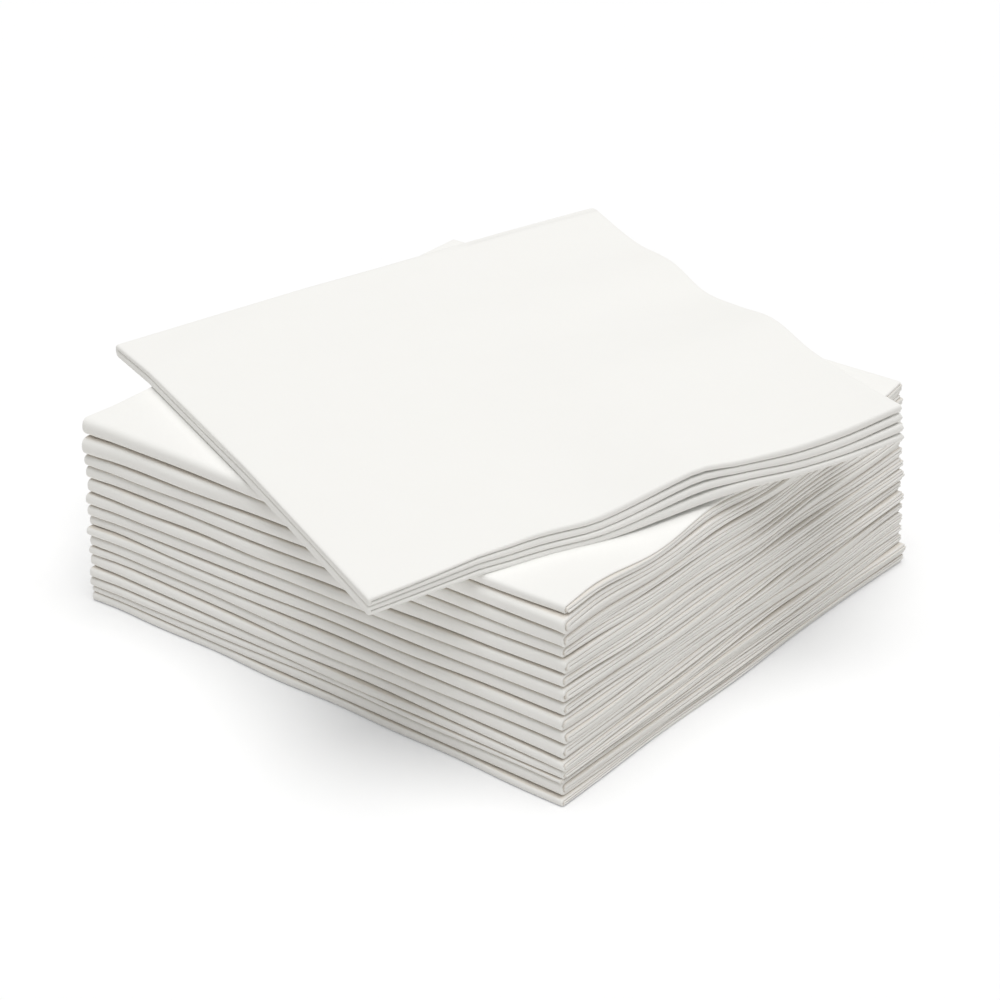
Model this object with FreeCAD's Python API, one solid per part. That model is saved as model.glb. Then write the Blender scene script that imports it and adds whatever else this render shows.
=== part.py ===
"""A stack of quarter-folded paper napkins.

Sixteen napkins lie squared up on each other, and one more lies loose and turned on top.
Each napkin is one sheet folded twice, so it is one solid with four layers:
the first fold joins the layers of a pair, and the second fold joins the two pairs.
The origin is the middle of the underside of the lowest napkin. +Z is up, in millimetres.
"""

import FreeCAD
import Part
import math
import os
from FreeCAD import Vector

# The napkin as it leaves the folder
folded_width = 165.0  # along the second fold, half of the open sheet's 330
folded_depth = 160.0  # along the first fold, half of the open sheet's 320
sheet_thickness = 0.6  # one embossed layer, as it lies
crease_bevel = 0.3  # the first fold's rounding, as a share of the height of its two layers

# The squared stack
napkins_in_stack = 16
lowest_napkin_height = 3.1  # pressed by the napkins above it
highest_napkin_height = 3.85  # hardly pressed
lean_x = -2.2  # how far the highest napkin lies from the lowest one
lean_y = 3.1
unevenness = 0.55  # how far each napkin lies off that lean
twist = 0.25  # degrees that a napkin is turned at most
uneven_step_x = 2.4  # radians from one napkin to the next in the waves of the unevenness
uneven_step_y = 1.7
twist_step = 3.1

# The loose napkin on top: a like sheet, folded the other way first and turned over
loose_width = folded_depth  # along its second fold
loose_depth = folded_width  # along its first fold, which lies to the front
loose_x = -4.0
loose_y = 1.0
loose_turn = -23.1  # degrees
loose_skew = 1.9  # degrees that its second fold lies off square
loose_clearance = 0.3  # between it and the napkin that carries it
closed_corner_lift = 2.5  # how far its cut side rises off the stack, at the second fold
open_corner_lift = 5.0  # and at the open corner
rise_power = 3  # how late the rise begins on the way to the cut side
corner_spacing = {"left": 0.9, "front": 1.4, "back": 2.1, "right": 2.5}  # of its layers
puff = 0.95  # how far its layers spread more where the cut end humps up
puff_place = 0.65  # from the first fold, as a share of the cut end
puff_width = 0.13

layers = 4  # of a sheet folded twice
stretches = 8  # steps in which the loose napkin's rise and hump are followed
loose_crease = 0.8  # how far its first fold is rounded in plan


def napkin_height(index):
    """The height that a napkin of the stack takes, from the lowest to the highest."""
    share = index / (napkins_in_stack - 1)
    return lowest_napkin_height + share * (highest_napkin_height - lowest_napkin_height)


def layer_spacing(height):
    """From one layer to the next in a napkin of this height."""
    return (height - sheet_thickness) / (layers - 1)


def pair_section(spacing, at_y):
    """Two layers joined by the first fold, as a face across the sheet: a flat hairpin."""
    height = spacing + sheet_thickness
    left, right = -folded_width / 2, folded_width / 2
    slot_end = left + sheet_thickness
    bevel = crease_bevel * height
    outline = [
        (right, 0),
        (left + bevel, 0),
        (left, bevel),
        (left, height - bevel),
        (left + bevel, height),
        (right, height),
        (right, spacing),
        (slot_end, spacing),
        (slot_end, sheet_thickness),
        (right, sheet_thickness),
    ]
    points = [Vector(x, at_y, z) for x, z in outline]
    return Part.Face(Part.makePolygon(points + points[:1]))


def folded_napkin(height):
    """A napkin of the stack: the lower pair, carried round the second fold to the upper pair."""
    middle = height / 2
    fold_y = -folded_depth / 2 + middle
    section = pair_section(layer_spacing(height), fold_y)
    lower_pair = section.extrude(Vector(0, folded_depth - middle, 0))
    second_fold = section.revolve(Vector(0, fold_y, middle), Vector(-1, 0, 0), 180)
    upper_pair = lower_pair.mirror(Vector(0, 0, middle), Vector(0, 0, 1))
    return lower_pair.fuse([second_fold, upper_pair]).removeSplitter()


def place_in_stack(napkin, index, underside):
    """Lay a napkin on those below it, with the lean of the stack and some unevenness."""
    share = index / (napkins_in_stack - 1)
    x = lean_x * share + unevenness * math.sin(uneven_step_x * index)
    y = lean_y * share + unevenness * math.sin(uneven_step_y * index)
    turn = twist * math.sin(twist_step * index)
    napkin.rotate(Vector(0, 0, 0), Vector(0, 0, 1), turn)
    napkin.translate(Vector(x, y, underside))


def loose_spot(x, y):
    """Where a point of the loose napkin lies in plan. It is turned over, so x runs back."""
    turn = math.radians(loose_turn)
    y -= x * math.tan(math.radians(loose_skew))
    return (
        loose_x + y * math.cos(turn) - x * math.sin(turn),
        loose_y + y * math.sin(turn) + x * math.cos(turn),
    )


def loose_form(x, y):
    """The height of the loose napkin's underside above the stack, and its layers' spacing."""
    back = x / loose_width + 0.5  # 0 at the first fold, 1 at the cut side
    across = y / loose_depth + 0.5  # 0 at the second fold, 1 at the cut end
    lift = closed_corner_lift + across * (open_corner_lift - closed_corner_lift)
    front = corner_spacing["left"] + across * (corner_spacing["front"] - corner_spacing["left"])
    rear = corner_spacing["back"] + across * (corner_spacing["right"] - corner_spacing["back"])
    hump = puff * across * math.exp(-(((back - puff_place) / puff_width) ** 2))
    underside = loose_clearance + lift * back**rise_power
    return underside, front + back * (rear - front) + hump


def loose_path(x, spacings, thicknesses, stack_top):
    """A line along the loose sheet at one x, so many spacings and thicknesses into its pair.

    It runs along the lower pair to the second fold, round it and back along the upper pair.
    """
    fold_spacing = loose_form(x, -loose_depth / 2)[1]
    whole = (layers - 1) * fold_spacing + sheet_thickness
    fold_y = -loose_depth / 2 + whole / 2

    def point(y, upper):
        underside, spacing = loose_form(x, y)
        depth_in = spacings * spacing + thicknesses * sheet_thickness
        height = (layers - 1) * spacing + sheet_thickness - depth_in if upper else depth_in
        return Vector(*loose_spot(x, y), stack_top + underside + height)

    lower_end, lower_fold = point(loose_depth / 2, False), point(fold_y, False)
    upper_fold, upper_end = point(fold_y, True), point(loose_depth / 2, True)
    radius = (upper_fold - lower_fold).Length / 2
    tip = Vector(*loose_spot(x, fold_y - radius), (upper_fold.z + lower_fold.z) / 2)
    edges = [
        Part.LineSegment(lower_end, lower_fold),
        Part.Arc(lower_fold, tip, upper_fold),
        Part.LineSegment(upper_fold, upper_end),
    ]
    return [edge.toShape() for edge in edges]


def loose_napkin(stack_top):
    """The napkin that lies loose on the stack: paths round its section, joined by ruled faces."""
    left, right = -loose_width / 2, loose_width / 2
    step = (right - left) / stretches
    inner = [left + step * index for index in range(1, stretches)] + [right]
    outside = [left + loose_crease] + inner
    inside = [left + sheet_thickness] + inner
    section = [(x, 0, 0) for x in reversed(outside)]
    section += [(left, crease_bevel, crease_bevel), (left, 1 - crease_bevel, 1 - crease_bevel)]
    section += [(x, 1, 1) for x in outside]
    section += [(x, 1, 0) for x in reversed(inside)]
    section += [(x, 0, 1) for x in inside]
    paths = [loose_path(*place, stack_top) for place in section]
    faces = []
    for path, following in zip(paths, paths[1:] + paths[:1]):
        for edge, other in zip(path, following):
            faces.append(Part.makeRuledSurface(edge, other).Faces[0])
    for end in (0, -1):
        corners = [path[end].Vertexes[end].Point for path in paths]
        faces.append(Part.Face(Part.makePolygon(corners + corners[:1])))
    shell = Part.makeShell(faces)
    shell.sewShape()
    napkin = Part.makeSolid(shell)
    if napkin.Volume < 0:
        napkin.reverse()
    return napkin


def build():
    """Every napkin, from the lowest to the loose one, under the name of its file."""
    napkins = {}
    stack_top = 0.0
    for index in range(napkins_in_stack):
        napkin = folded_napkin(napkin_height(index))
        place_in_stack(napkin, index, stack_top)
        napkins[f"stacked_napkin_{index + 1:02d}"] = napkin
        stack_top += napkin_height(index)
    napkins["loose_top_napkin"] = loose_napkin(stack_top)
    return napkins


os.makedirs("parts", exist_ok=True)
for name, napkin in build().items():
    print(name, "valid" if napkin.isValid() else "NOT VALID", round(napkin.Volume), "mm3")
    napkin.exportStep(f"parts/{name}.step")
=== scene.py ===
"""The looks of a stack of quarter-folded paper napkins, built around its packed frame.

Each napkin is one closed sheet: a hairpin profile, the first fold, carried along a hairpin path,
the second fold. All lengths are metres, in the frame of the part, with +Z up.
"""

import math

import bpy
import numpy as np
from bpy.props import FloatProperty, FloatVectorProperty, IntProperty, PointerProperty
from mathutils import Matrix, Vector


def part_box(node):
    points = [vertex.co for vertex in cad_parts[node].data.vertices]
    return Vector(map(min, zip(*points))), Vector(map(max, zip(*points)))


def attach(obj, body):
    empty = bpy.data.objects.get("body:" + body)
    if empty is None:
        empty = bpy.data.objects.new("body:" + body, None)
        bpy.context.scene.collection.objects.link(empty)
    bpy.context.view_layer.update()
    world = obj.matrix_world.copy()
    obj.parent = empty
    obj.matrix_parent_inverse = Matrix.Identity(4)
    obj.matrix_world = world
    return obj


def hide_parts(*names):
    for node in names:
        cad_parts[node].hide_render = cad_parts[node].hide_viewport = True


bl_info = {
    "name": "Stack of paper napkins",
    "version": (1, 0, 0),
    "blender": (4, 5, 0),
    "location": "3D View > Sidebar > Napkins",
    "description": "Builds a squared stack of folded paper napkins with a loose one on top",
    "category": "Add Mesh",
}

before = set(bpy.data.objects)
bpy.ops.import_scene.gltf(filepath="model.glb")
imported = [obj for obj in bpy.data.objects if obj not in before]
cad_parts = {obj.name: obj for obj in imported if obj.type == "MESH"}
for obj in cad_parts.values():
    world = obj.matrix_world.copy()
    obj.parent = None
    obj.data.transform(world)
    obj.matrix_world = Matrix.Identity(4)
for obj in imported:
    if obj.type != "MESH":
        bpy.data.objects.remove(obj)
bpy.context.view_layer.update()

LOOSE_NODE = "loose_top_napkin"
STACKED_NODES = sorted(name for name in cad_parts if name.startswith("stacked_napkin_"))
STACK_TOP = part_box(STACKED_NODES[-1])[1].z
LAYERS = 4  # of a sheet folded twice
DAYLIGHT_REACH = 2.5  # how far light gets in between the layers, in widths of the gap
WAVE_SLANT = 0.6  # how far the waves of the layers run off square across a napkin
RIM_STEPS = (0.0008, 0.002, 0.004, 0.007)  # past a rim's rounding, where the grid's steps grow
CLOUD_SHARE = 0.6  # of the clouds in the paper's tone, where the fibres have the rest
FIBRE_SHARE = 0.6  # of the fibres in the grain's height, where the embossed dots have the rest
MILLIMETRE = 0.001

# Heights of the stacked napkins at the two corners that are seen, from the lowest, in millimetres
CLOSED_CORNER_HEIGHTS = (
    2.8, 1.8, 3.0, 3.2, 3.6, 2.4, 3.5, 2.7, 2.9, 3.6, 3.6, 4.1, 3.6, 3.8, 5.7, 5.3,
)
NEAR_CORNER_HEIGHTS = (
    2.2, 4.1, 0.9, 2.6, 3.0, 4.4, 3.8, 4.1, 4.1, 4.4, 3.8, 4.4, 3.8, 3.8, 4.7, 2.9,
)

# The loose napkin's four edges: (share of the way along the edge, millimetres)
FIRST_FOLD_UNDERSIDE = ((0, 0.3), (1, 0.3))
CUT_SIDE_UNDERSIDE = (
    (0, 3.3), (0.18, 2.5), (0.3, 3.3), (0.41, 2.7), (0.52, 4.2), (0.63, 5.6), (0.74, 4.8),
    (0.86, 4.7), (1, 5.3),
)
SECOND_FOLD_UNDERSIDE = ((0, 0.3), (0.5, 0.8), (1, 3.3))
CUT_END_UNDERSIDE = (
    (0, 0.3), (0.2, 0.3), (0.45, 0.3), (0.56, 2.4), (0.62, 3.4), (0.69, 3.8), (0.79, 3.1),
    (0.88, 3.4), (1, 5.3),
)
FIRST_FOLD_THICKNESS = ((0, 3.8), (0.5, 4.3), (1, 4.7))
CUT_SIDE_THICKNESS = (
    (0, 8.4), (0.18, 7.1), (0.3, 7.8), (0.41, 6.2), (0.52, 7.2), (0.63, 9.1), (0.74, 8.0),
    (0.86, 8.3), (1, 8.7),
)
SECOND_FOLD_THICKNESS = ((0, 3.8), (0.3, 5.4), (0.63, 7.4), (1, 8.4))
CUT_END_THICKNESS = (
    (0, 4.7), (0.1, 4.7), (0.2, 5.2), (0.3, 6.2), (0.4, 6.3), (0.48, 7.6), (0.54, 8.6),
    (0.6, 9.4), (0.68, 7.6), (0.77, 7.4), (0.88, 7.8), (1, 8.7),
)

# Sockets of a Mix node that blends colours
MIX_SHARE, MIX_FIRST, MIX_SECOND, MIX_RESULT = 0, 6, 7, 2


class SheetSettings(bpy.types.PropertyGroup):
    """Sizes that every napkin shares"""

    folded_width: FloatProperty(
        name="Folded width", description="Along the second fold", default=0.165, unit="LENGTH"
    )
    folded_depth: FloatProperty(
        name="Folded depth", description="Along the first fold", default=0.160, unit="LENGTH"
    )
    thickness: FloatProperty(
        name="Sheet thickness", description="One embossed layer", default=0.0006, unit="LENGTH"
    )
    step: FloatProperty(
        name="Grid step", description="Between grid lines in mid sheet", default=0.0032,
        unit="LENGTH",
    )
    seed: IntProperty(name="Seed", description="Start of the random waves", default=11)


class StackSettings(bpy.types.PropertyGroup):
    """How the squared stack lies"""

    outer_fullness: FloatProperty(
        name="Outer fullness", default=0.80,
        description="How far a layer fills its half of the height outside its pair",
    )
    inner_fullness: FloatProperty(
        name="Inner fullness", description="How far it does inside its pair", default=0.92
    )
    layer_spread: FloatProperty(
        name="Layer spread", description="How unevenly the layers share the height", default=0.11
    )
    napkin_spread: FloatProperty(
        name="Napkin spread", description="How unevenly the napkins share the height",
        default=0.035,
    )
    unevenness: FloatProperty(
        name="Unevenness", description="Share of the frame's offsets from its even lean",
        default=0.4,
    )
    cut_stagger: FloatProperty(
        name="Cut stagger", description="How far single cut edges lie in or out",
        default=0.00015, unit="LENGTH",
    )
    napkin_stagger: FloatProperty(
        name="Napkin stagger", description="How far whole cut sides lie in or out",
        default=0.0003, unit="LENGTH",
    )
    fold_stagger: FloatProperty(
        name="Fold stagger", description="How far the folds lie in or out",
        default=0.00025, unit="LENGTH",
    )
    outer_in: FloatProperty(
        name="Outer in", description="How far in the cut edges of a napkin's two outer layers lie",
        default=0.00042, unit="LENGTH",
    )
    edge_round: FloatProperty(
        name="Edge rounding", description="How far in the rounding of the cut edges reaches",
        default=0.00015, unit="LENGTH",
    )
    corner_out: FloatProperty(
        name="Corner out", description="How far the closed corners reach past their rounding",
        default=0.0011, unit="LENGTH",
    )
    near_out: FloatProperty(
        name="Near out", description="How far the cut side stands out at the near corner",
        default=0.0007, unit="LENGTH",
    )
    near_in: FloatProperty(
        name="Near in", description="How far the second folds lie in at the near corner",
        default=0.0006, unit="LENGTH",
    )
    top_in: FloatProperty(
        name="Top in", description="How much further in the highest of them lies",
        default=0.0012, unit="LENGTH",
    )
    end_in: FloatProperty(
        name="End in", description="How far the highest cut end lies in at the right corner",
        default=0.0022, unit="LENGTH",
    )
    open_out: FloatProperty(
        name="Open out", description="How far the lowest open corner reaches out",
        default=0.0013, unit="LENGTH",
    )
    open_in: FloatProperty(
        name="Open in", description="How far the highest open corner lies in",
        default=0.0005, unit="LENGTH",
    )
    far_rise: FloatProperty(
        name="Far rise", description="How far the top rises towards the right corner",
        default=0.001, unit="LENGTH",
    )
    top_wave: FloatProperty(
        name="Top wave", description="Height of the top's waves along the cut side",
        default=0.0009, unit="LENGTH",
    )
    edge_drop: FloatProperty(
        name="Edge drop", description="How far the top rolls down at the cut side",
        default=0.0006, unit="LENGTH",
    )


class LooseSettings(bpy.types.PropertyGroup):
    """How the loose napkin lies on the stack"""

    centre: FloatVectorProperty(
        name="Centre", description="Its middle in plan", size=2, default=(-0.004, 0.001),
        unit="LENGTH",
    )
    turn: FloatProperty(
        name="Turn", description="About the upright", default=math.radians(-23.1),
        unit="ROTATION",
    )
    skew: FloatProperty(
        name="Skew", description="Of its second fold off square", default=math.radians(1.9),
        unit="ROTATION",
    )
    droop_left: FloatProperty(
        name="Left droop", description="Of its corner past the stack's first folds",
        default=0.0018, unit="LENGTH",
    )
    droop_front: FloatProperty(
        name="Front droop", description="Of its corner past the stack's second folds",
        default=0.0028, unit="LENGTH",
    )
    bulk: FloatProperty(
        name="Bulk", description="Thickness of a layer that nothing presses", default=0.0021,
        unit="LENGTH",
    )
    edge_round: FloatProperty(
        name="Edge rounding", description="How far in the rounding of its cut edges reaches",
        default=0.0006, unit="LENGTH",
    )
    corner_out: FloatProperty(
        name="Corner out", description="How far its open corner reaches out", default=0.0009,
        unit="LENGTH",
    )
    step_out: FloatProperty(
        name="Step out", description="How far each lower layer shows past the one above",
        default=0.0004, unit="LENGTH",
    )
    crease: FloatProperty(
        name="Crease", description="How deep its first folds are creased, in layer heights",
        default=0.35,
    )


class FinishSettings(bpy.types.PropertyGroup):
    """The paper and the floor"""

    paper: FloatVectorProperty(
        name="Paper", description="Colour of the paper", subtype="COLOR",
        default=(0.925, 0.926, 0.913),
    )
    shade: FloatVectorProperty(
        name="Shade", description="Colour of its denser fibres", subtype="COLOR",
        default=(0.905, 0.905, 0.889),
    )
    # Painted shade: the colour that the paper is painted deep between the layers and near cut rims,
    # where light is short
    crevice_shade: FloatVectorProperty(
        name="Crevice", description="Colour deep between the layers", subtype="COLOR",
        default=(0.76, 0.72, 0.665),
    )
    # Painted shade: the same, lighter, painted between the loose napkin's layers
    open_crevice_shade: FloatVectorProperty(
        name="Open crevice", description="The same between the loose napkin's layers",
        subtype="COLOR", default=(0.92, 0.915, 0.895),
    )
    cloud_scale: FloatProperty(
        name="Cloud scale", description="Of the cloudy spread of the fibres, per metre",
        default=90.0,
    )
    fibre_scale: FloatProperty(
        name="Fibre scale", description="Of the single fibres, per metre", default=1400.0
    )
    emboss_scale: FloatProperty(
        name="Embossing scale", description="Of the embossed dots, per metre", default=900.0
    )
    grain: FloatProperty(
        name="Grain", description="Height of the embossed grain", default=0.00004, unit="LENGTH"
    )
    roughness: FloatProperty(
        name="Roughness", description="Of the paper where it is smoothest", default=0.86
    )
    fibre_roughness: FloatProperty(
        name="Fibre roughness", description="What the fibres add to it", default=0.1
    )
    floor: FloatVectorProperty(
        name="Floor", description="Colour of the floor", subtype="COLOR",
        default=(0.88, 0.875, 0.865),
    )


class StageSettings(bpy.types.PropertyGroup):
    """The camera, the floor and the lights"""

    azimuth: FloatProperty(
        name="Azimuth", description="Of the camera about the stack",
        default=math.radians(-51.3726), unit="ROTATION",
    )
    elevation: FloatProperty(
        name="Elevation", description="Of the camera above the floor",
        default=math.radians(28.3378), unit="ROTATION",
    )
    distance: FloatProperty(
        name="Distance", description="From the camera to its target", default=0.8216,
        unit="LENGTH",
    )
    target: FloatVectorProperty(
        name="Target", description="Point that the camera looks at",
        default=(0.0038, -0.00515, 0.02968), unit="LENGTH",
    )
    lens: FloatProperty(name="Lens", description="Focal length, millimetres", default=106.13)
    floor_reach: FloatProperty(
        name="Floor reach", description="From the stack to the floor's edges", default=4.0,
        unit="LENGTH",
    )
    overhead: FloatProperty(
        name="Overhead light", description="Watts per square metre", default=2.0
    )
    overhead_angle: FloatProperty(
        name="Overhead angle", description="How wide the overhead light looks from below",
        default=math.radians(52), unit="ROTATION",
    )
    overhead_direction: FloatVectorProperty(
        name="Overhead direction", description="Which way the overhead light shines",
        subtype="DIRECTION", default=(-0.09, 0.02, -1),
    )
    sky: FloatProperty(name="Sky", description="Strength of the even light", default=0.38)
    sky_colour: FloatVectorProperty(
        name="Sky colour", description="Colour of the even light", subtype="COLOR",
        default=(1, 0.975, 0.93),
    )
    glow: FloatVectorProperty(
        name="Floor glow", subtype="COLOR", default=(0.112, 0.125, 0.148),
        description="What the camera alone sees added, to make the floor's bare parts white",
    )


SETTINGS = {
    "napkin_sheet": SheetSettings,
    "napkin_stack": StackSettings,
    "napkin_loose": LooseSettings,
    "napkin_finish": FinishSettings,
    "napkin_stage": StageSettings,
}


def rise(value, start, end):
    """A smooth step from 0 at the start to 1 at the end.

    At a share u of the way it is three times the square of u, less twice the cube of u.
    """
    share = np.clip((value - start) / (end - start), 0, 1)
    return share * share * (3 - 2 * share)


def waves(draws, shortest, longest, count=5):
    """A wavy line: a sum of sines of random lengths and phases, with a spread of about 1."""
    lengths = np.exp(draws.uniform(np.log(shortest), np.log(longest), count))
    phases = draws.uniform(0, 2 * np.pi, count)
    size = np.sqrt(2 / count)

    def line(along):
        return size * np.sin(2 * np.pi * along[..., None] / lengths + phases).sum(-1)

    return line


def through(points):
    """A smooth line through (share, millimetres) points, in metres.

    Between two points it is the cubic whose slopes there are the mean slopes about them.
    """
    at, value = np.array(points, float).T
    value = value * MILLIMETRE
    slope = np.gradient(value, at)

    def line(share):
        i = np.clip(np.searchsorted(at, share) - 1, 0, len(at) - 2)
        span = at[i + 1] - at[i]
        u = (share - at[i]) / span
        start = (1 + 2 * u) * (1 - u) ** 2 * value[i] + u * (1 - u) ** 2 * span * slope[i]
        end = u * u * (3 - 2 * u) * value[i + 1] + u * u * (u - 1) * span * slope[i + 1]
        return start + end

    return line


def from_edges(left, right, front, rear):
    """A surface over the unit square from its four edge lines.

    It is the bilinear blend of the corners, plus each edge's departure from straight, which dies
    away from that edge with the third power of the distance to the edge across.
    """
    zero, one = np.zeros(1), np.ones(1)
    corners = [left(zero), left(one), right(zero), right(one)]

    def surface(a, b):
        flat_left = corners[0] * (1 - b) + corners[1] * b
        flat_right = corners[2] * (1 - b) + corners[3] * b
        flat_front = corners[0] * (1 - a) + corners[2] * a
        flat_rear = corners[1] * (1 - a) + corners[3] * a
        base = flat_left * (1 - a) + flat_right * a
        sides = (left(b) - flat_left) * (1 - a) ** 3 + (right(b) - flat_right) * a**3
        ends = (front(a) - flat_front) * (1 - b) ** 3 + (rear(a) - flat_rear) * b**3
        return base + sides + ends

    return surface


def from_rim(length, step, rim):
    """Distances from a cut rim: a quarter round, then steps that grow to the grid's, up to length."""
    round_part = rim * (1 - np.cos(np.radians([0, 30, 60, 90])))
    growing = rim + np.array(RIM_STEPS)
    count = int(round((length - growing[-1]) / step))
    even = np.linspace(growing[-1], length, count + 1)[1:]
    return np.concatenate([round_part, growing, even])


def rim_share(distance, rim):
    """How much of the sheet's thickness is left at a distance from a cut rim: a half round."""
    inside = np.clip(distance / rim, 0, 1)
    return np.sqrt(1 - (1 - inside) ** 2)


def squared_turn(angle, squareness):
    """How far a fold's line is along and out at a turn angle.

    They are the cosine and the sine, each to the power of the squareness, which flattens the
    half round when it is under 1.
    """
    cosine, sine = np.cos(angle), np.sin(angle)
    return np.sign(cosine) * np.abs(cosine) ** squareness, np.abs(sine) ** squareness


def on_nose(out):
    """The daylight on a fold: none up to 0.3 of the way out to its nose, all of it from 0.7 on."""
    return rise(out, 0.3, 0.7)


def hairpin(length, step, rim, turns):
    """A hairpin line as arrays: distance to the fold along it, turn angle, distance to its rim.

    Its first leg comes from the rim to the fold, then the angle goes from 0 to pi, then the
    second leg goes back to the rim.
    """
    leg = from_rim(length, step, rim)
    angle = np.linspace(0, np.pi, turns + 1)
    to_fold = np.concatenate([length - leg, np.zeros(turns - 1), (length - leg)[::-1]])
    turn = np.concatenate([np.zeros(len(leg)), angle[1:-1], np.full(len(leg), np.pi)])
    to_rim = np.concatenate([leg, np.full(turns - 1, length), leg[::-1]])
    return to_fold, turn, to_rim


class FoldedSheet:
    """A sheet folded twice, as a grid of points on both of its faces.

    Across the first fold the sheet's middle runs a hairpin of half width 0.5 in units of the
    layer pitch. That hairpin is carried along the second fold's, of half width 1. A point of the
    grid then has a place x, y in the folded napkin and a level from 0 to 4, which counts layers.
    A point's daylight is e to the power of minus its distance from the nearest cut edge, over
    DAYLIGHT_REACH widths of the gap beside it. It is 1 on the noses of folds and on an open top.
    It is the mask of painted shade: where it is short, the paper's colour is painted darker.
    """

    turns = 12  # grid steps round each fold
    squareness = 0.84  # of the folds, where 1 is a half round
    long_step = 1.4  # grid steps along the second fold, against those along the first
    crease_sharpness = 12  # power of the sine that a crease follows round its fold
    crease_shade = 0.6  # daylight that a crease takes for each pitch that it sinks

    def __init__(
        self, step, width, depth, rim, *, half, pitch, fold_pitch_x, fold_pitch_y,
        open_top, dent=None,
    ):
        """step is the grid's. rim is how far in the rounding of the cut edges reaches.
        width and depth are the folded napkin's, along its second fold and along its first.
        half is a function of x, y and of the face, outer or not: how far that face lies from
        the sheet's middle, in units of the pitch, which is a function of x, y.
        fold_pitch_x and _y are functions of y and of x, the layer pitch met at each fold.
        open_top says that nothing lies on its top.
        dent is a function of y and of the upper pair: how deep a crease sinks into each first
        fold, in units of the pitch."""
        fold_x, turn_x, rim_x = hairpin(width, step * self.long_step, rim, self.turns)
        fold_y, turn_y, rim_y = hairpin(depth, step, rim, self.turns)
        x, turn_x, rim_x = (v[:, None] for v in (fold_x - width / 2, turn_x, rim_x))
        y, turn_y, rim_y = (v[None, :] for v in (fold_y - depth / 2, turn_y, rim_y))
        inner = np.broadcast_to(turn_x > np.pi / 2, (turn_x.size, turn_y.size))
        upper = np.broadcast_to(turn_y > np.pi / 2, inner.shape)
        self.layer = np.where(upper, np.where(inner, 2, 3), np.where(inner, 1, 0))
        self.x_flat, self.y_flat = x + 0 * y, y + 0 * x
        pitch_x, pitch_y = fold_pitch_x(y), fold_pitch_y(x)
        reach = 0.5 + half(self.x_flat, self.y_flat, True)
        centre_x = np.maximum(x, -width / 2 + reach * pitch_x)
        centre_y = np.maximum(y, -depth / 2 + (1 + reach) * pitch_y)
        fullness = rim_share(rim_x, rim) * rim_share(rim_y, rim)
        sunk = dent(y, upper) * np.sin(turn_x) ** self.crease_sharpness if dent else 0
        level_x, out_x = squared_turn(turn_x, self.squareness)
        level_y, out_y = squared_turn(turn_y, self.squareness)
        self.faces = []
        for outer_face in (True, False):
            filled = half(self.x_flat, self.y_flat, outer_face)
            out = (filled if outer_face else -filled) * fullness
            gap = (1 - 2 * filled) * pitch(self.x_flat, self.y_flat)
            # Painted shade: daylight falls off towards the cut rims, and the paper's colour is
            # painted darker there
            daylight = np.exp(-np.minimum(rim_x, rim_y) / (DAYLIGHT_REACH * gap))
            if outer_face:
                on_fold = np.maximum(on_nose(out_x), np.where(inner, 0, on_nose(out_y)))
                on_top = (self.layer == LAYERS - 1) & open_top
                daylight = np.maximum(np.maximum(daylight, on_fold), on_top)
                # Painted shade in the creases of the first folds, deeper where they sink
                daylight -= self.crease_shade * sunk
            across = -(0.5 + out) * level_x
            place_x = centre_x - ((0.5 + out) * out_x - sunk) * pitch_x
            place_y = centre_y - (1 - across) * out_y * pitch_y
            level = 2 - (1 - across) * level_y
            self.faces.append((place_x, place_y, level, daylight))


def running_height(level, layer_heights):
    """The height at a level: the sum of the layers' heights below it, and its share of its own."""
    return sum(height * np.clip(level - k, 0, 1) for k, height in enumerate(layer_heights))


def add_sheet_mesh(name, front, back, material):
    """One closed mesh from the grids of a sheet's two faces, which share their rim.

    A grid holds x, y, z and the daylight there, which goes into an attribute. Where the volume,
    a sixth of the sum of the corners' triple products, is negative, the faces are turned round.
    """
    rows, columns = front.shape[:2]
    front_ids = np.arange(rows * columns).reshape(rows, columns)
    back_ids = front_ids.copy()
    inner_ids = np.arange((rows - 2) * (columns - 2)).reshape(rows - 2, -1)
    back_ids[1:-1, 1:-1] = rows * columns + inner_ids
    values = np.concatenate([front.reshape(-1, 4), back[1:-1, 1:-1].reshape(-1, 4)])
    points, daylight = values[:, :3], values[:, 3]

    def quads(ids):
        corners = [ids[:-1, :-1], ids[1:, :-1], ids[1:, 1:], ids[:-1, 1:]]
        return np.stack(corners, -1).reshape(-1, 4)

    faces = np.concatenate([quads(front_ids), quads(back_ids)[:, ::-1]])
    a, b, c, d = (points[faces[:, k]] for k in range(4))
    volume = (np.cross(a, b) * c).sum() + (np.cross(a, c) * d).sum()
    if volume < 0:
        faces = faces[:, ::-1]
    mesh = bpy.data.meshes.new(name)
    mesh.vertices.add(len(points))
    mesh.vertices.foreach_set("co", points.astype(np.float32).ravel())
    mesh.loops.add(faces.size)
    mesh.loops.foreach_set("vertex_index", faces.astype(np.int32).ravel())
    mesh.polygons.add(len(faces))
    mesh.polygons.foreach_set("loop_start", np.arange(0, faces.size, 4, dtype=np.int32))
    mesh.polygons.foreach_set("use_smooth", np.ones(len(faces), bool))
    mesh.update(calc_edges=True)
    if mesh.validate():
        raise RuntimeError(f"{name}: the sheet's mesh had faces that are not valid")
    # The daylight attribute is the mask of the painted shade: the materials darken the paper's colour
    # where it is short
    attribute = mesh.attributes.new("daylight", "FLOAT", "POINT")
    attribute.data.foreach_set("value", daylight.astype(np.float32))
    mesh.materials.append(material)
    piece = bpy.data.objects.new(name, mesh)
    bpy.context.scene.collection.objects.link(piece)
    return piece


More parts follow.
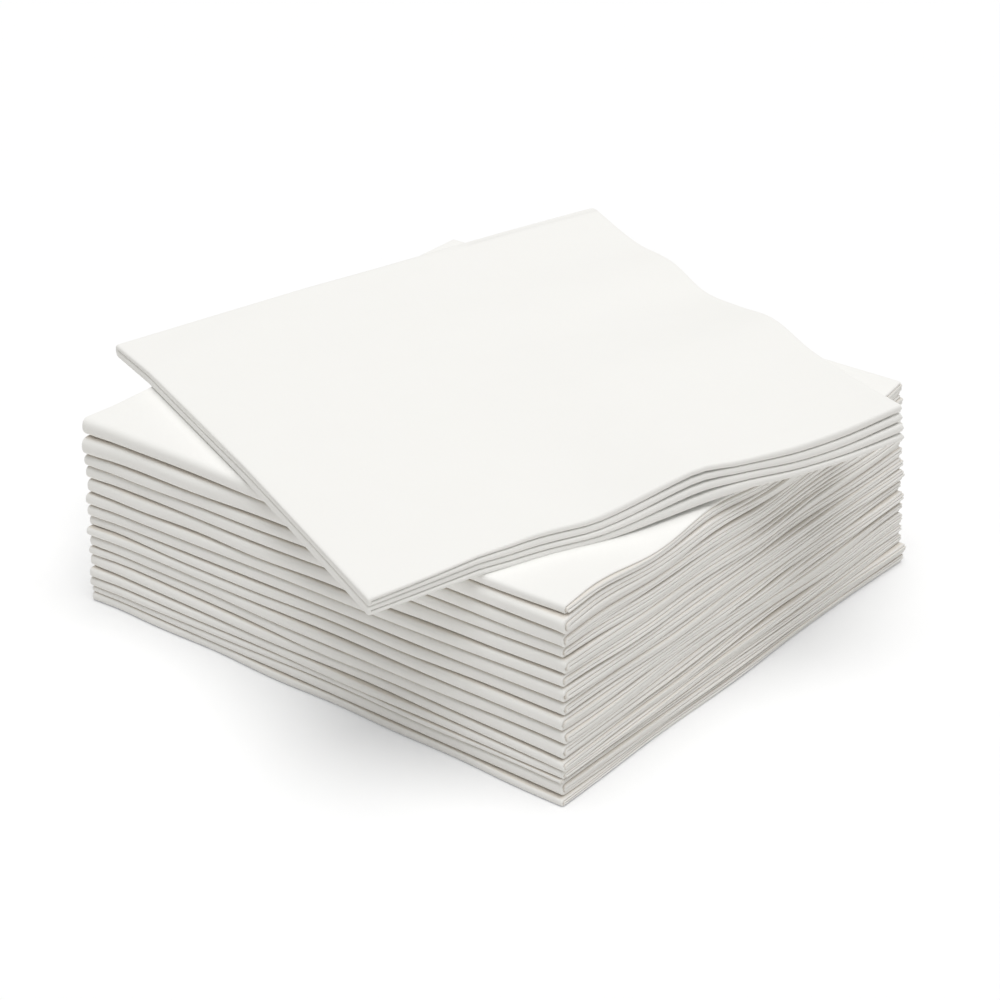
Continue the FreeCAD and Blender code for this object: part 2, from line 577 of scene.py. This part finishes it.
class StackForm:
    """The heights of every layer in the squared stack, as functions of the place in plan.

    Each napkin takes a share of the stack's height and each layer a share of its napkin's. The
    shares wander along the edges. All shares add up to the whole, so that no two layers meet.
    The waves of the top are taken up by the upper napkins, as a power of their place.
    """

    wave_reach = 0.035  # how far in from the cut side the top's waves go
    wave_start = 0.02  # how far they take to come up from the near corner
    roll_reach = 0.004  # how far in from the cut side the top's edge starts to roll down
    far_range = (-0.02, 0.08)  # along x and along y, over which the top rises
    take_up = 4  # the power of their place with which the napkins take up the top's waves
    held = 0.3  # share of the layers' unevenness that is left at the second folds
    held_reach = 0.2  # share of the depth over which the second folds hold them
    cut_reach = 0.02  # how far in from the cut edges their offsets go
    fold_reach = 0.012  # how far in from the folds their offsets go
    end_start = 0.3  # how far along its waves the cut end starts, not to repeat the cut side
    corner_way = (0.78, 0.62)  # which way the closed corners reach out, as parts along x and y

    def __init__(self, sheet, stack):
        self.sheet, self.stack = sheet, stack
        draws = np.random.default_rng(sheet.seed)
        self.count = len(STACKED_NODES)
        boxes = [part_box(node) for node in STACKED_NODES]
        centres = np.array([((low + high) / 2).xy for low, high in boxes])
        order = np.arange(self.count)
        lean = np.stack([np.polyval(np.polyfit(order, line, 1), order) for line in centres.T], -1)
        self.centres = lean + stack.unevenness * (centres - lean)
        self.heights = np.array([high.z - low.z for low, high in boxes])
        self.napkin_waves = [waves(draws, 0.15, 0.5) for _ in boxes]
        self.layer_waves = [[waves(draws, 0.12, 0.5) for _ in range(LAYERS)] for _ in boxes]
        self.cut_waves = [[waves(draws, 0.05, 0.3) for _ in range(LAYERS)] for _ in boxes]
        self.side_waves = [waves(draws, 0.05, 0.3) for _ in boxes]
        self.fold_waves = [waves(draws, 0.04, 0.25) for _ in boxes]
        self.top_waves = waves(draws, 0.035, 0.09, 4)

    def top(self, x, y):
        """The height of the stack's top.

        It waves near the cut side, rises smoothly to the right corner and rolls down at the
        cut side.
        """
        half = self.sheet.folded_width / 2
        near_cut = rise(x, half - self.wave_reach, half) * rise(y, -half, self.wave_start - half)
        roll = rise(x, half - self.roll_reach, half)
        far = rise(x, *self.far_range) * rise(y, *self.far_range)
        waved = self.stack.top_wave * near_cut * self.top_waves(y) + self.stack.far_rise * far
        return STACK_TOP + waved - self.stack.edge_drop * roll

    def layer_heights(self, x, y):
        """The height of every layer there, as an array of napkin, layer, and the place's shape.

        A napkin's height goes from the seen corners' at the second folds smoothly to its solid's
        at the cut ends, times e to the power of its waves. The layers share it in proportion to
        e to the power of theirs. All are then scaled to add up to the stack's height.
        """
        width, depth = self.sheet.folded_width, self.sheet.folded_depth
        across, back = x / width + 0.5, y / depth + 0.5
        closed = np.array(CLOSED_CORNER_HEIGHTS) * MILLIMETRE
        near = np.array(NEAR_CORNER_HEIGHTS) * MILLIMETRE
        loosened = self.held + (1 - self.held) * rise(back, 0, self.held_reach)
        spread = self.stack.layer_spread * loosened
        smooth_back = rise(back, 0, 1)
        along = y - WAVE_SLANT * x
        shares = []
        for i in range(self.count):
            front = closed[i] * (1 - across) + near[i] * across
            nominal = front * (1 - smooth_back) + self.heights[i] * smooth_back
            napkin = nominal * np.exp(self.stack.napkin_spread * self.napkin_waves[i](along))
            parts = [np.exp(spread * line(along)) for line in self.layer_waves[i]]
            shares.append([napkin * part / sum(parts) for part in parts])
        shares = np.array(shares)
        even = shares * STACK_TOP / shares.sum((0, 1))
        taken = (np.arange(1, self.count + 1) / self.count) ** self.take_up
        taken = (taken / taken.sum() / LAYERS).reshape(-1, 1, *[1] * np.ndim(x))
        return even + taken * (self.top(x, y) - STACK_TOP)

    def shifts(self, index, folded):
        """How far one napkin's points lie off their places along x and along y.

        Near a cut edge a layer is off by its own wave and the napkin's. The outer layers lie in,
        because their way round the folds is longer: at the cut end by an eighth of a turn at
        the pitch. The second fold is off by the napkin's wave. Each corner is in or out by its
        own size, which dies away from it linearly, as a square or over the folds' reach.
        """
        sheet, stack = self.sheet, self.stack
        x, y, layer = folded.x_flat, folded.y_flat, folded.layer
        half_x, half_y = sheet.folded_width / 2, sheet.folded_depth / 2
        across, back = x / sheet.folded_width + 0.5, y / sheet.folded_depth + 0.5
        place = index / (self.count - 1)
        outer = (layer == 0) | (layer == LAYERS - 1)
        near_cut_side = rise(x, half_x - self.cut_reach, half_x)
        near_cut_end = rise(y, half_y - self.cut_reach, half_y)
        near_first_fold = rise(x, self.fold_reach - half_x, -half_x)
        near_second_fold = rise(y, self.fold_reach - half_y, -half_y)

        cut_waves = self.cut_waves[index]
        side = stack.cut_stagger * np.choose(layer, [line(y) for line in cut_waves])
        side += stack.napkin_stagger * self.side_waves[index](y)
        side += stack.near_out * (1 - back) - stack.outer_in * outer
        end = stack.cut_stagger * np.choose(layer, [line(x + self.end_start) for line in cut_waves])
        end -= np.pi / 4 * self.heights[index] / LAYERS * outer + stack.end_in * across * place
        fold = near_second_fold * stack.fold_stagger * self.fold_waves[index](x)
        near_in = stack.near_in + (stack.top_in if index == self.count - 1 else 0)
        fold += (1 - back) * across**2 * near_in
        open_out = (across * back) ** 2 * (stack.open_out * (1 - place) - stack.open_in * place)
        closed_out = near_first_fold * near_second_fold * stack.corner_out
        shift_x = near_cut_side * side + open_out - closed_out * self.corner_way[0]
        shift_y = near_cut_end * end + fold + open_out - closed_out * self.corner_way[1]
        return shift_x, shift_y

    def napkin(self, index):
        """Both faces of one napkin of the stack, as grids of points: a folded sheet, shifted and
        moved to its place, with its levels read as heights above the layers below it."""
        sheet, stack = self.sheet, self.stack
        pitch = self.heights[index] / LAYERS

        def pitch_at_fold(x):
            heights = self.layer_heights(x, np.full_like(x, -sheet.folded_depth / 2))
            return heights[index].sum(0) / LAYERS

        folded = FoldedSheet(
            sheet.step,
            sheet.folded_width,
            sheet.folded_depth,
            stack.edge_round,
            half=lambda x, y, outer: (stack.outer_fullness if outer else stack.inner_fullness) / 2,
            pitch=lambda x, y: pitch,
            fold_pitch_x=lambda y: np.full_like(y, pitch),
            fold_pitch_y=pitch_at_fold,
            open_top=index == self.count - 1,
        )
        shift_x, shift_y = self.shifts(index, folded)
        centre_x, centre_y = self.centres[index]
        points = []
        for x, y, level, daylight in folded.faces:
            world_x, world_y = x + centre_x + shift_x, y + centre_y + shift_y
            heights = self.layer_heights(world_x, world_y)
            underside = heights[:index].sum((0, 1))
            z = underside + running_height(level, heights[index])
            points.append(np.stack([world_x, world_y, z, daylight], -1))
        return points


class LooseForm:
    """How the loose napkin lies, as functions of the place x, y in the folded napkin.

    Its underside and its thickness are surfaces blended from their edge lines. The underside
    stays above the stack, and past the stack's edges it droops in proportion to the overhang.
    Its sheet is folded the other way first, so its sides are exchanged, and it is turned over:
    x runs back from its first fold, and y runs right from its second fold.
    """

    fullest = 0.44  # most that half a layer takes of the pitch, which keeps the layers apart
    lower_crease = 0.6  # depth of the lower pair's crease, against the upper pair's
    crease_start = 0.05  # how far from the second fold the creases take to deepen
    cut_reach = 0.03  # how far in from the cut edges their offsets go
    side_step = 0.4  # the cut side's steps between layers, against the cut end's
    end_wander = 0.0001  # how far the cut end's layers wander in and out
    gap_spread = 0.12  # how unevenly the layers share the thickness
    clearance = 0.0001  # least height above the stack
    droop_left_reach = 0.024  # overhang at the left at which it droops by that corner's size
    droop_front_reach = 0.028  # and at the front
    droop_limit = 2  # most that it droops, in the corner's size

    def __init__(self, sheet, loose, stack_form):
        self.sheet, self.loose, self.stack_form = sheet, loose, stack_form
        self.width, self.depth = sheet.folded_depth, sheet.folded_width
        self.underside = from_edges(
            through(FIRST_FOLD_UNDERSIDE), through(CUT_SIDE_UNDERSIDE),
            through(SECOND_FOLD_UNDERSIDE), through(CUT_END_UNDERSIDE),
        )
        self.thickness = from_edges(
            through(FIRST_FOLD_THICKNESS), through(CUT_SIDE_THICKNESS),
            through(SECOND_FOLD_THICKNESS), through(CUT_END_THICKNESS),
        )
        draws = np.random.default_rng(sheet.seed + 1)
        self.end_waves = [waves(draws, 0.05, 0.2) for _ in range(LAYERS)]
        self.gap_waves = [waves(draws, 0.05, 0.2) for _ in range(LAYERS)]

    def shares(self, x, y):
        """The shares of the way from the first fold and from the second, from 0 to 1."""
        return np.clip(x / self.width + 0.5, 0, 1), np.clip(y / self.depth + 0.5, 0, 1)

    def pitch(self, x, y):
        """The layer pitch: the thickness less that of one sheet, over the number of gaps."""
        return (self.thickness(*self.shares(x, y)) - self.sheet.thickness) / (LAYERS - 1)

    def half(self, x, y, outer):
        """Half an unpressed layer in units of the pitch, the same for both faces."""
        return np.minimum(self.loose.bulk / 2 / self.pitch(x, y), self.fullest)

    def dent(self, y, upper):
        """The depth of the first folds' creases: none at the second fold, then smoothly full."""
        second_fold = -self.depth / 2
        depths = self.loose.crease * np.where(upper, 1.0, self.lower_crease)
        return depths * rise(y, second_fold, second_fold + self.crease_start)

    def shifts(self, folded):
        """How far the points lie off their places along x and along y.

        Near the cut edges each lower layer shows a step further out, and the open corner reaches
        out as the square of the way to it. The cut end's layers wander by their waves.
        """
        x, y, loose = folded.x_flat, folded.y_flat, self.loose
        from_top = LAYERS - 1 - folded.layer
        near_cut_side = rise(x, self.width / 2 - self.cut_reach, self.width / 2)
        near_cut_end = rise(y, self.depth / 2 - self.cut_reach, self.depth / 2)
        wander = np.choose(folded.layer, [line(x) for line in self.end_waves])
        back, right = x / self.width + 0.5, y / self.depth + 0.5
        side = self.side_step * loose.step_out * from_top + loose.corner_out * right**2
        end = loose.step_out * back * from_top + self.end_wander * wander
        return near_cut_side * side, near_cut_end * end

    def in_plan(self, x, y):
        """Where a place of the napkin lies: skewed, turned and moved to the centre."""
        cos, sin = math.cos(self.loose.turn), math.sin(self.loose.turn)
        y = y - x * math.tan(self.loose.skew)
        return self.loose.centre[0] + y * cos - x * sin, self.loose.centre[1] + y * sin + x * cos

    def base(self, x, y, world_x, world_y):
        """The height of the underside: the surface from the edge lines, or the stack's top and
        the clearance where that is higher, less the droops in proportion to the overhang."""
        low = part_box(STACKED_NODES[-1])[0]
        left = np.clip((low.x - world_x) / self.droop_left_reach, 0, self.droop_limit)
        front = np.clip((low.y - world_y) / self.droop_front_reach, 0, self.droop_limit)
        droop = self.loose.droop_left * left + self.loose.droop_front * front
        rest = self.stack_form.top(world_x, world_y) + self.clearance
        return np.maximum(STACK_TOP + self.underside(*self.shares(x, y)), rest) - droop

    def napkin(self):
        """Both faces of the loose napkin, as grids of points.

        The layers share the thickness in proportion to e to the power of their waves. The
        lowest one's middle lies half a sheet above the base.
        """
        folded = FoldedSheet(
            self.sheet.step,
            self.width,
            self.depth,
            self.loose.edge_round,
            half=self.half,
            pitch=self.pitch,
            fold_pitch_x=lambda y: self.pitch(np.full_like(y, -self.width / 2), y),
            fold_pitch_y=lambda x: self.pitch(x, np.full_like(x, -self.depth / 2)),
            open_top=True,
            dent=self.dent,
        )
        shift_x, shift_y = self.shifts(folded)
        points = []
        for x, y, level, daylight in folded.faces:
            world_x, world_y = self.in_plan(x + shift_x, y + shift_y)
            along = x - WAVE_SLANT * y
            parts = [np.exp(self.gap_spread * line(along)) for line in self.gap_waves]
            whole = LAYERS * self.pitch(x, y)
            heights = [whole * part / sum(parts) for part in parts]
            middle = self.base(x, y, world_x, world_y) + self.sheet.thickness / 2
            z = middle - heights[0] / 2 + running_height(level, heights)
            points.append(np.stack([world_x, world_y, z, daylight], -1))
        return points


class Signal:
    """A socket of a material's nodes. Arithmetic on signals adds Math nodes."""

    def __init__(self, nodes, socket):
        self.nodes, self.socket = nodes, socket

    def math(self, operation, first, second):
        return self.nodes.add("ShaderNodeMath", {"operation": operation}, [first, second])

    def __add__(self, other):
        return self.math("ADD", self, other)

    __radd__ = __add__

    def __mul__(self, other):
        return self.math("MULTIPLY", self, other)

    __rmul__ = __mul__

    def __sub__(self, other):
        return self.math("SUBTRACT", self, other)

    def __rsub__(self, other):
        return self.math("SUBTRACT", other, self)


class Nodes:
    """The node tree of a material or of the world."""

    def __init__(self, owner):
        owner.use_nodes = True
        self.tree = owner.node_tree
        self.tree.nodes.clear()

    def add(self, kind, settings=None, values=None, output=0):
        """A node with its settings, then its sockets' values or links. Gives one output's signal."""
        node = self.tree.nodes.new(kind)
        for name, value in (settings or {}).items():
            setattr(node, name, value)
        pairs = values.items() if isinstance(values, dict) else enumerate(values or [])
        for key, value in pairs:
            if isinstance(value, Signal):
                self.tree.links.new(value.socket, node.inputs[key])
            else:
                node.inputs[key].default_value = value
        return Signal(self, node.outputs[output]) if node.outputs else None

    def blend(self, share, first, second):
        """The first colour turned into the second by a share from 0 to 1, through a Mix node."""
        first, second = (
            colour if isinstance(colour, Signal) else (*colour, 1) for colour in (first, second)
        )
        values = {MIX_SHARE: share, MIX_FIRST: first, MIX_SECOND: second}
        settings = {"data_type": "RGBA", "clamp_factor": True}
        return self.add("ShaderNodeMix", settings, values, MIX_RESULT)


def paper_material(name, finish, crevice_shade):
    """White tissue: two tones of fibre, a rough matt face and a fine embossed grain.

    Clouds and fibres mix the two tones, and fibres and embossed dots add up to the grain's
    height. Where daylight is short the paper takes the crevice colour, which is painted shade
    between the layers, near cut rims and in creases.
    """
    material = bpy.data.materials.new(name)
    nodes = Nodes(material)
    place = nodes.add("ShaderNodeTexCoord", output="Object")
    clouds = nodes.add(
        "ShaderNodeTexNoise", None, {"Vector": place, "Scale": finish.cloud_scale, "Detail": 3.0}
    )
    fibres = nodes.add(
        "ShaderNodeTexNoise", None, {"Vector": place, "Scale": finish.fibre_scale, "Detail": 2.0}
    )
    dots = nodes.add(
        "ShaderNodeTexVoronoi", None, {"Vector": place, "Scale": finish.emboss_scale}
    )
    tone = clouds * CLOUD_SHARE + fibres * (1 - CLOUD_SHARE)
    paper = nodes.blend(tone, finish.shade, finish.paper)
    daylight = nodes.add("ShaderNodeAttribute", {"attribute_name": "daylight"}, output="Fac")
    height = fibres * FIBRE_SHARE + dots * (1 - FIBRE_SHARE)
    normal = nodes.add(
        "ShaderNodeBump", None, {"Strength": 0.6, "Distance": finish.grain, "Height": height}
    )
    shader = nodes.add(
        "ShaderNodeBsdfPrincipled",
        None,
        {
            # Painted shade: the paper's colour darkens to the crevice colour where daylight is short
            "Base Color": nodes.blend(daylight, crevice_shade, paper),
            "Roughness": finish.roughness + fibres * finish.fibre_roughness,
            "Specular IOR Level": 0.2,
            "Normal": normal,
        },
    )
    nodes.add("ShaderNodeOutputMaterial", None, [shader])
    return material


def floor_material(finish, glow):
    """A pale floor. Only to the camera it glows a little, so that its bare parts are white."""
    material = bpy.data.materials.new("pale_floor")
    nodes = Nodes(material)
    shader = nodes.add("ShaderNodeBsdfDiffuse", None, {"Color": (*finish.floor, 1)})
    camera_ray = nodes.add("ShaderNodeLightPath", output="Is Camera Ray")
    glossy_ray = nodes.add("ShaderNodeLightPath", output="Is Glossy Ray")
    seen = camera_ray + glossy_ray
    light = nodes.add("ShaderNodeEmission", None, {"Color": (*glow, 1), "Strength": seen})
    both = nodes.add("ShaderNodeAddShader", None, [shader, light])
    nodes.add("ShaderNodeOutputMaterial", None, [both])
    return material


def add_floor(stage, finish):
    """A square floor at height 0, as far to each side as its reach."""
    reach = stage.floor_reach
    corners = [(-reach, -reach, 0), (reach, -reach, 0), (reach, reach, 0), (-reach, reach, 0)]
    mesh = bpy.data.meshes.new("floor")
    mesh.from_pydata(corners, [], [(0, 1, 2, 3)])
    mesh.materials.append(floor_material(finish, stage.glow))
    floor = bpy.data.objects.new("floor", mesh)
    bpy.context.scene.collection.objects.link(floor)


def add_sky(stage):
    """An even sky that the camera sees as white."""
    world = bpy.data.worlds.new("studio")
    bpy.context.scene.world = world
    nodes = Nodes(world)
    camera_ray = nodes.add("ShaderNodeLightPath", output="Is Camera Ray")
    glossy_ray = nodes.add("ShaderNodeLightPath", output="Is Glossy Ray")
    through_glass = nodes.add("ShaderNodeLightPath", output="Is Transmission Ray")
    seen = nodes.add(
        "ShaderNodeMath",
        {"operation": "ADD", "use_clamp": True},
        [camera_ray + glossy_ray, through_glass],
    )
    strength = seen + (1 - seen) * stage.sky
    colour = nodes.blend(seen, stage.sky_colour, (1, 1, 1))
    shader = nodes.add("ShaderNodeBackground", None, {"Color": colour, "Strength": strength})
    nodes.add("ShaderNodeOutputWorld", None, [shader])


def add_overhead_light(stage):
    """A wide soft light from above, a little from the right."""
    lamp = bpy.data.lights.new("overhead", "SUN")
    lamp.energy = stage.overhead
    lamp.angle = stage.overhead_angle
    holder = bpy.data.objects.new("overhead", lamp)
    direction = Vector(stage.overhead_direction)
    holder.rotation_euler = direction.to_track_quat("-Z", "Y").to_euler()
    bpy.context.scene.collection.objects.link(holder)


def add_camera(stage):
    """A camera that looks at its target, from its distance at its azimuth and elevation."""
    camera = bpy.data.cameras.new("camera")
    camera.sensor_width = 36.0
    camera.lens = stage.lens
    holder = bpy.data.objects.new("camera", camera)
    level, upright = math.cos(stage.elevation), math.sin(stage.elevation)
    away = Vector((level * math.cos(stage.azimuth), level * math.sin(stage.azimuth), upright))
    holder.location = Vector(stage.target) + away * stage.distance
    holder.rotation_euler = (-away).to_track_quat("-Z", "Y").to_euler()
    bpy.context.scene.collection.objects.link(holder)
    bpy.context.scene.camera = holder


class NAPKINS_OT_squared_stack(bpy.types.Operator):
    """Build the sixteen napkins that lie squared up on each other"""

    bl_idname = "napkins.squared_stack"
    bl_label = "Squared stack"

    def execute(self, context):
        scene = context.scene
        sheet = scene.napkin_sheet
        form = StackForm(sheet, scene.napkin_stack)
        finish = scene.napkin_finish
        # The crevice colour paints shade between the stacked layers
        material = paper_material("stacked_napkin_paper", finish, finish.crevice_shade)
        for index, node in enumerate(STACKED_NODES):
            front, back = form.napkin(index)
            piece = add_sheet_mesh(f"folded_{node}", front, back, material)
            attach(piece, "root")
            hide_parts(node)
        return {"FINISHED"}


class NAPKINS_OT_loose_napkin(bpy.types.Operator):
    """Build the napkin that lies loose and turned on the stack"""

    bl_idname = "napkins.loose_napkin"
    bl_label = "Loose napkin"

    def execute(self, context):
        scene = context.scene
        sheet = scene.napkin_sheet
        form = LooseForm(sheet, scene.napkin_loose, StackForm(sheet, scene.napkin_stack))
        finish = scene.napkin_finish
        # The open crevice colour paints a lighter shade between the loose napkin's layers
        material = paper_material("loose_napkin_paper", finish, finish.open_crevice_shade)
        front, back = form.napkin()
        piece = add_sheet_mesh("folded_loose_napkin", front, back, material)
        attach(piece, "root")
        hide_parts(LOOSE_NODE)
        return {"FINISHED"}


class NAPKINS_OT_stage(bpy.types.Operator):
    """Build the floor, the lights and the camera"""

    bl_idname = "napkins.stage"
    bl_label = "Stage"

    def execute(self, context):
        scene = context.scene
        stage = scene.napkin_stage
        add_floor(stage, scene.napkin_finish)
        add_sky(stage)
        add_overhead_light(stage)
        scene.view_settings.view_transform = "Standard"
        add_camera(stage)
        return {"FINISHED"}


class NAPKINS_PT_sidebar(bpy.types.Panel):
    """Lists the pieces in build order"""

    bl_label = "Napkins"
    bl_space_type = "VIEW_3D"
    bl_region_type = "UI"
    bl_category = "Napkins"

    def draw(self, context):
        for operator in OPERATORS:
            self.layout.operator(operator.bl_idname)
        for name, group in SETTINGS.items():
            box = self.layout.box()
            box.label(text=group.__doc__)
            for prop in group.__annotations__:
                box.prop(getattr(context.scene, name), prop)


OPERATORS = (NAPKINS_OT_squared_stack, NAPKINS_OT_loose_napkin, NAPKINS_OT_stage)
CLASSES = (*SETTINGS.values(), *OPERATORS, NAPKINS_PT_sidebar)


def register():
    """Register the classes and give the scene its settings."""
    for cls in CLASSES:
        bpy.utils.register_class(cls)
    for name, group in SETTINGS.items():
        setattr(bpy.types.Scene, name, PointerProperty(type=group))


def unregister():
    """Take the settings and the classes away again."""
    for name in SETTINGS:
        delattr(bpy.types.Scene, name)
    for cls in reversed(CLASSES):
        bpy.utils.unregister_class(cls)


def main():
    """Build every piece and the stage."""
    register()
    bpy.ops.napkins.squared_stack()
    bpy.ops.napkins.loose_napkin()
    bpy.ops.napkins.stage()


if __name__ == "__main__":
    main()
